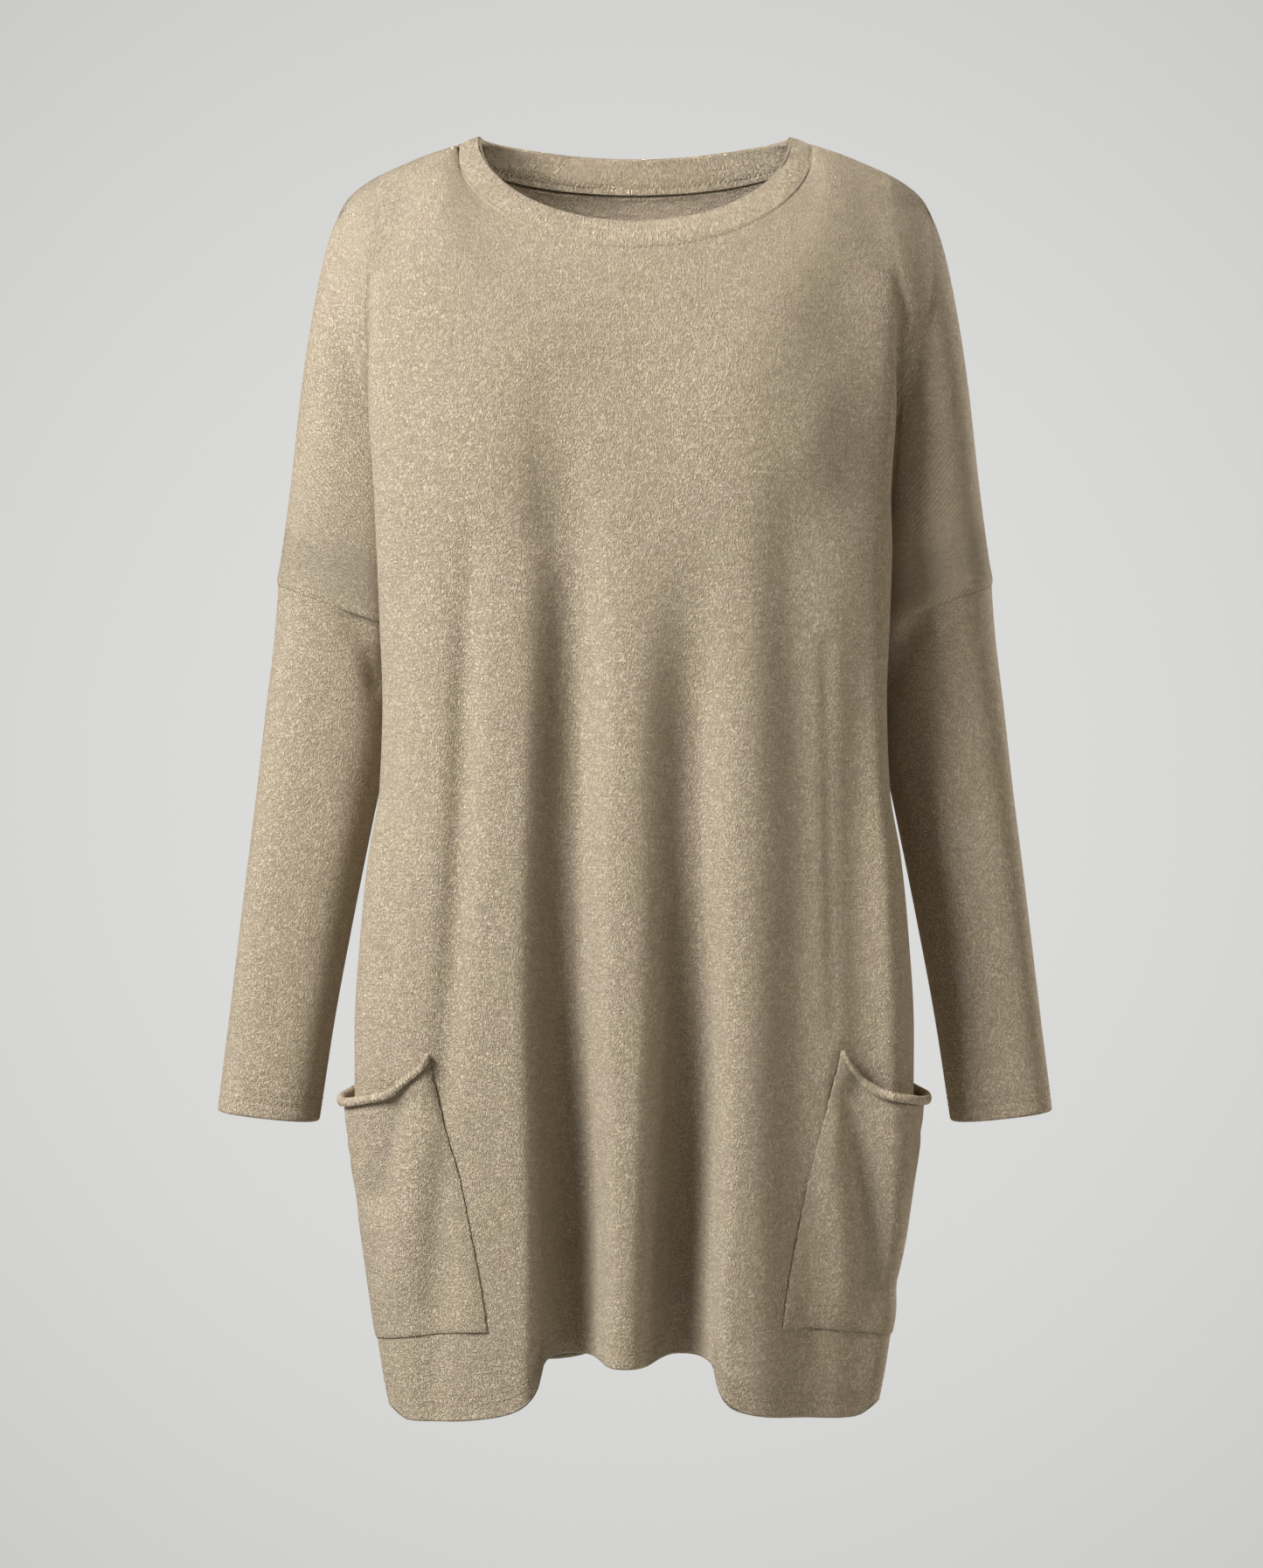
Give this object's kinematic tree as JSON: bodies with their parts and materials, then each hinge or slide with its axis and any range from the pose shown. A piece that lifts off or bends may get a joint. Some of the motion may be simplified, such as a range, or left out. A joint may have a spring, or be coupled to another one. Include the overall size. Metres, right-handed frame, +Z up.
{
  "type": "long sweater",
  "caption": "Long loose knit sweater, worn shape, with a wide round neck, dropped shoulders, long sleeves and slanted patch pockets.",
  "frame": {"origin": "midway between the neck ends of the two shoulder seams, where the wearer's shoulders hold the sweater", "axes": "+Z up along the body, -Y out of the front, +X towards the wearer's left sleeve"},
  "size_m": [0.5548, 0.2311, 0.8407],
  "materials": {
    "knit": "brushed heathered jersey knit, soft and matte",
    "knit_band": "the same knit, folded over and topstitched",
    "knit_pocket": "the same knit, raw edge turned under"
  },
  "bodies": {
    "root": {"front": "knit", "back": "knit", "sleeve_left": "knit", "sleeve_right": "knit", "neckband": "knit_band", "pocket_left": "knit_pocket", "pocket_right": "knit_pocket"}
  },
  "joints": []
}
